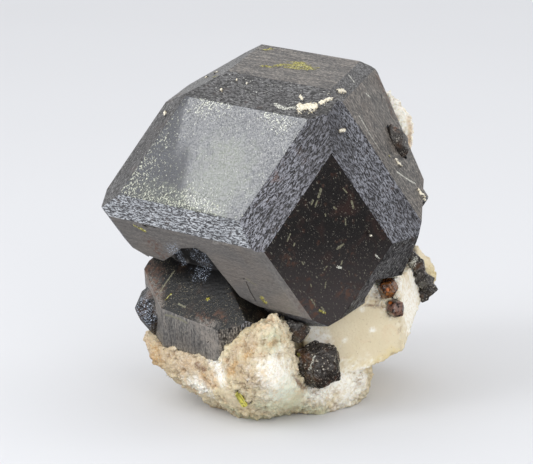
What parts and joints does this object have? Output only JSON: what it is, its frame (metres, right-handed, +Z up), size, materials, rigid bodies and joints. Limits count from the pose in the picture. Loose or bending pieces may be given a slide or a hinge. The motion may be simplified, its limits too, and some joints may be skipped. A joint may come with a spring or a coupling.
{
  "type": "garnet in matrix",
  "caption": "Dark rhombic garnet crystal with bevelled edges, grown with smaller garnets in a pale feldspar rock that stands on a flat base.",
  "frame": {"origin": "point of the flat base face below the big crystal", "axes": "+Z up, -Y towards the front with the three large crystal faces, +X to the specimen's right as seen from the front"},
  "size_m": [0.0538, 0.0512, 0.0554],
  "materials": {
    "feldspar": "rough, granular, satin on cleavage faces",
    "dark_garnet": "glossy crystal faces, striated edges",
    "rust_garnet": "glossy",
    "epidote": "glossy"
  },
  "bodies": {
    "root": {"matrix": "feldspar", "garnet_group": "dark_garnet", "front_garnet": "dark_garnet", "wedged_garnet": "dark_garnet", "upper_right_garnet": "dark_garnet", "edge_garnets": "dark_garnet", "rust_garnet_upper": "rust_garnet", "rust_garnet_lower": "rust_garnet", "epidote_prism": "epidote"}
  },
  "joints": []
}
